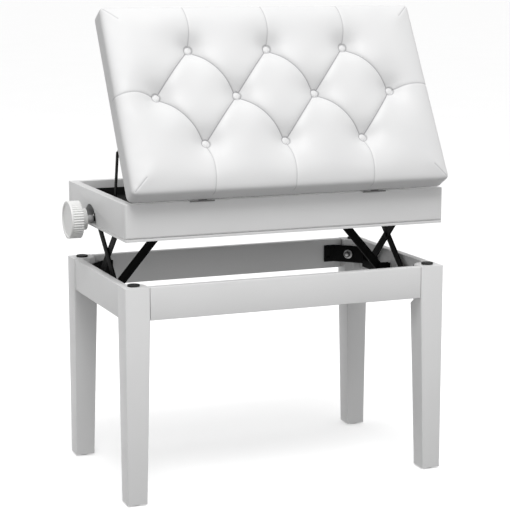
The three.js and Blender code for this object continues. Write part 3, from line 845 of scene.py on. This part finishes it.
def inside_outline(places):
    """How far each place lies inside the lid's outline."""
    in_from_x = LID_LENGTH / 2 - abs(places[:, 0])
    in_from_y = LID_DEPTH / 2 - abs(places[:, 1] - LID_REAR - LID_DEPTH / 2)
    return np.minimum(in_from_x, in_from_y)


def shape_top(places):
    """Lets the top fall toward its rim, and sinks it under each button in a wide soft funnel."""
    sunk = places.copy()
    top = np.clip(((places[:, 2] - LID_UNDERSIDE) / LID_THICKNESS - 0.55) / 0.35, 0, 1)
    away = distance_to_buttons(places)
    funnel = 0.65 * np.exp(-(away / (24 * MM)) ** 2) + 0.35 * np.exp(-away / (8 * MM))
    sunk[:, 2] -= (LID_UNDERSIDE + LID_THICKNESS - BUTTON_HEIGHT) * funnel * top
    sunk[:, 2] -= RIM_FALL * np.exp(-inside_outline(places) / (15 * MM)) * top
    return sunk


def inflate(piece, rest, pinned):
    """Swells the cover with a short cloth simulation, holding the pinned points."""
    group = piece.vertex_groups.new(name="held")
    group.add([int(i) for i in np.flatnonzero(pinned)], 1.0, "REPLACE")
    only(piece)
    cloth = piece.modifiers.new("Cloth", "CLOTH")
    cloth.settings.vertex_group_mass = "held"
    cloth.settings.use_pressure = True
    cloth.settings.uniform_pressure_force = SWELLING_PRESSURE
    cloth.settings.effector_weights.gravity = 0
    cloth.settings.quality = 5
    cloth.settings.tension_stiffness = 12
    cloth.settings.compression_stiffness = 12
    cloth.settings.bending_stiffness = 0.6
    cloth.point_cache.frame_end = SWELLING_FRAMES
    for step in range(1, SWELLING_FRAMES + 1):
        bpy.context.scene.frame_set(step)
    bpy.ops.object.modifier_apply(modifier=cloth.name)
    bpy.context.scene.frame_set(1)
    piece.vertex_groups.clear()
    moved = read_places(piece) - rest
    length = np.linalg.norm(moved, axis=1)[:, None]
    write_places(piece, rest + moved * np.minimum(1, SWELLING / np.maximum(length, 1e-9)))


def cut_finer_at_pleats(piece):
    """Subdivides the faces of the top that lie along a pleat or round a button."""
    faces = piece.data.polygons
    centres = np.empty(3 * len(faces))
    faces.foreach_get("center", centres)
    centres = centres.reshape(-1, 3)
    near = distance_to_buttons(centres) < 11 * MM
    for pleat in PLEATS:
        near |= distance_to_line(centres[:, :2], pleat.line) < 3.4 * MM
    near &= centres[:, 2] > LID_UNDERSIDE + 0.4 * LID_THICKNESS
    select(piece, "FACE", lambda face: near[face.index])
    bpy.ops.mesh.subdivide(number_cuts=2)
    done_editing()


def press_pleats(piece):
    """Sinks the pleats and seams into the swollen cover, and marks painted shade along the folds
    and round each button.
    """
    places = read_places(piece)
    top = np.clip(((places[:, 2] - LID_UNDERSIDE) / LID_THICKNESS - 0.35) / 0.2, 0, 1)
    from_button = distance_to_buttons(places)
    # Painted shade: a thin dark ring round each button's seat.
    painted_fold_shade = 0.75 * np.exp(-((from_button - 7 * MM) / (1.1 * MM)) ** 2)
    sink = np.zeros(len(places))
    for pleat in PLEATS:
        away = distance_to_line(places[:, :2], pleat.line)
        sink = np.maximum(sink, pleat.sink(places[:, :2], away))
        # Painted shade along each pleat and seam, darker where the pleat is deeper.
        darkness = min(1, 0.35 + pleat.depth / (5 * MM))
        painted_fold_shade = np.maximum(painted_fold_shade, np.exp(-(away / (0.8 * MM)) ** 2) * darkness)
    places[:, 2] -= sink * top
    write_places(piece, places)
    attribute = piece.data.attributes.new("painted_fold_shade", "FLOAT", "POINT")
    attribute.data.foreach_set("value", (painted_fold_shade * top).astype(np.float32))


def cushion():
    piece = slab()
    rest = shape_top(read_places(piece))
    write_places(piece, rest)
    height = (rest[:, 2] - LID_UNDERSIDE) / LID_THICKNESS
    rim = inside_outline(rest) < ROLL - 1 * MM
    at_button = (distance_to_buttons(rest) < 8 * MM) & (height > 0.3)
    inflate(piece, rest, rim | at_button | (height < 0.3))
    apply_modifier(piece, "SUBSURF", levels=2, render_levels=2)
    cut_finer_at_pleats(piece)
    press_pleats(piece)
    piece.data.transform(LID_TO_FRAME @ Matrix.Translation((LID_MIDDLE, 0, 0)))
    only(piece)
    bpy.ops.object.shade_smooth()
    return hand_over(piece, "tufted_cushion", "lid", LEATHER, ("cushion",))


def button_pattern():
    """A flat dome covered in the same leather, its widest circle on the origin's level."""
    bpy.ops.mesh.primitive_uv_sphere_add(segments=32, ring_count=16, radius=BUTTON_RADIUS)
    piece = started()
    edit_all()
    bpy.ops.transform.resize(value=(1, 1, 0.5))
    select(piece, "VERT", lambda vertex: vertex.co.z > 2.6 * MM)
    bpy.ops.transform.resize(value=(1, 1, 0.4), center_override=(0, 0, 2.6 * MM))
    done_editing()
    only(piece)
    bpy.ops.object.shade_smooth()
    return piece


def lining_panel():
    """The cloth that closes the lid's underside, tacked inside the folded cover."""
    inset = 13 * MM
    size = (LID_LENGTH - 2 * inset, LID_DEPTH - 2 * inset, 0.45 * MM)
    centre = (LID_MIDDLE, LID_REAR + LID_DEPTH / 2, LID_UNDERSIDE - size[2] / 2)
    bpy.ops.mesh.primitive_cube_add(size=1, location=centre, scale=size)
    piece = settle(started())
    round_edges(piece, 0.15 * MM, 2)
    piece.data.transform(LID_TO_FRAME)
    return hand_over(piece, "lid_lining", "lid", LINING, ("lid_board",))


cushion()
covered_button = button_pattern()
for number, (x, y) in enumerate(BUTTONS, 1):
    seat = Matrix.Translation((LID_MIDDLE + x, y, BUTTON_HEIGHT + 0.4 * MM))
    hand_over(another(covered_button, LID_TO_FRAME @ seat), f"button_{number}", "lid", LEATHER)
put_away(covered_button)
lining_panel()
for side_name in ("left", "right"):
    for part, body in (("box", "seat_box"), ("lid", "lid")):
        soften(f"hinge_{part}_leaf_{side_name}", f"{part}_hinge_leaf_{side_name}", body,
               HINGE_STEEL, 0.25 * MM, 2)


# ------------------------------------------------------------------ folding stay
soften("stay_box_plate", "stay_wall_plate", "seat_box", BLACK_STEEL, 0.4 * MM, 2)
soften("stay_lid_bracket", "stay_lid_angle", "lid", BLACK_STEEL, 0.4 * MM, 2)
soften("stay_lower_arm", "stay_lower_strip", "stay_lower", BLACK_STEEL, 0.5 * MM, 2)
soften("stay_upper_arm", "stay_upper_strip", "stay_upper", BLACK_STEEL, 0.5 * MM, 2)
stay_low = Vector(joint("stay_lower_pivot")["pos_m"])
rivet_row("stay_wall_rivet", "seat_box", [
    (Vector((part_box("stay_lower_arm")[1][0], stay_low.y, stay_low.z)), Vector((1, 0, 0)), 3.6),
])
put_away(rivet_head)


# ------------------------------------------------------------------ stage, light and camera
EYE = (-0.9919, -2.4799, 0.8360)
LOOK_DOWN, LOOK_RIGHT = 9.943, 22.157       # degrees, from level and from straight ahead
LENS, SENSOR = 112.8, 36                    # millimetres


def stage_floor():
    bpy.ops.mesh.primitive_plane_add(size=600, location=(0, 0, 0))
    floor = started()
    floor.name = "studio_floor"
    finish = Finish("pale floor", roughness=0.95, specular_ior_level=0.1)
    finish.colour(finish.blend(finish.noise(2), grey(0.93), grey(0.95)))
    floor.data.materials.append(finish.material)
    floor.visible_diffuse = False
    return floor


def lamp(name, kind, place, target, power):
    light = bpy.data.lights.new(name, kind)
    light.energy = power
    made = bpy.data.objects.new(name, light)
    made.location = place
    made.rotation_euler = (Vector(target) - Vector(place)).to_track_quat("-Z", "Y").to_euler()
    bpy.context.scene.collection.objects.link(made)
    return made


def softbox(name, place, target, size, power):
    made = lamp(name, "AREA", place, target, power)
    made.data.shape = "DISK"
    made.data.size = size


def studio_light(floor):
    """A bright sky over a dim ground, seen as white; three softboxes; a lamp for the floor."""
    world = bpy.data.worlds.new("studio")
    world.use_nodes = True
    sky = Nodes(world.node_tree)
    way = sky.node("ShaderNodeTexCoord", {}, {})
    parts = sky.node("ShaderNodeSeparateXYZ", {}, {0: Value(sky, way.outputs["Generated"])})
    height = 0.5 + 0.5 * Value(sky, parts.outputs["Z"])
    horizon = {"stops": ((0.46, grey(0.27)), (0.54, grey(0.7)))}
    ramp = sky.node("ShaderNodeValToRGB", horizon, {0: height})
    path = sky.node("ShaderNodeLightPath", {}, {})
    seen = Value(sky, path.outputs["Is Camera Ray"])
    sockets = {0: seen, 6: Value(sky, ramp.outputs[0]), 7: (1, 1, 1, 1)}
    backdrop = sky.node("ShaderNodeMix", {"data_type": "RGBA"}, sockets)
    sky.feed(world.node_tree.nodes["Background"].inputs["Color"], Value(sky, backdrop.outputs[2]))
    bpy.context.scene.world = world
    softbox("key", (-0.5, -1.75, 3.35), (0, 0, 0.4), 1.8, 72)
    softbox("fill", (0.3, -3.4, 0.5), (0, 0, 0.35), 1.6, 2)
    softbox("top", (0.2, -0.3, 3.0), (0, 0, 0.4), 1.6, 8)
    floor_light = lamp("floor_lift", "SUN", (0, 0, 3), (0, 0, 0), 1.1)
    only_floor = bpy.data.collections.new("only_floor")
    only_floor.objects.link(floor)
    floor_light.light_linking.receiver_collection = only_floor
    floor_light.light_linking.blocker_collection = only_floor


def camera():
    lens = bpy.data.cameras.new("view")
    lens.lens = LENS
    lens.sensor_width = SENSOR
    eye = bpy.data.objects.new("view", lens)
    eye.location = EYE
    eye.rotation_euler = (math.radians(90 - LOOK_DOWN), 0, math.radians(-LOOK_RIGHT))
    bpy.context.scene.collection.objects.link(eye)
    bpy.context.scene.camera = eye


studio_light(stage_floor())
camera()
bpy.context.scene.view_settings.view_transform = "Standard"
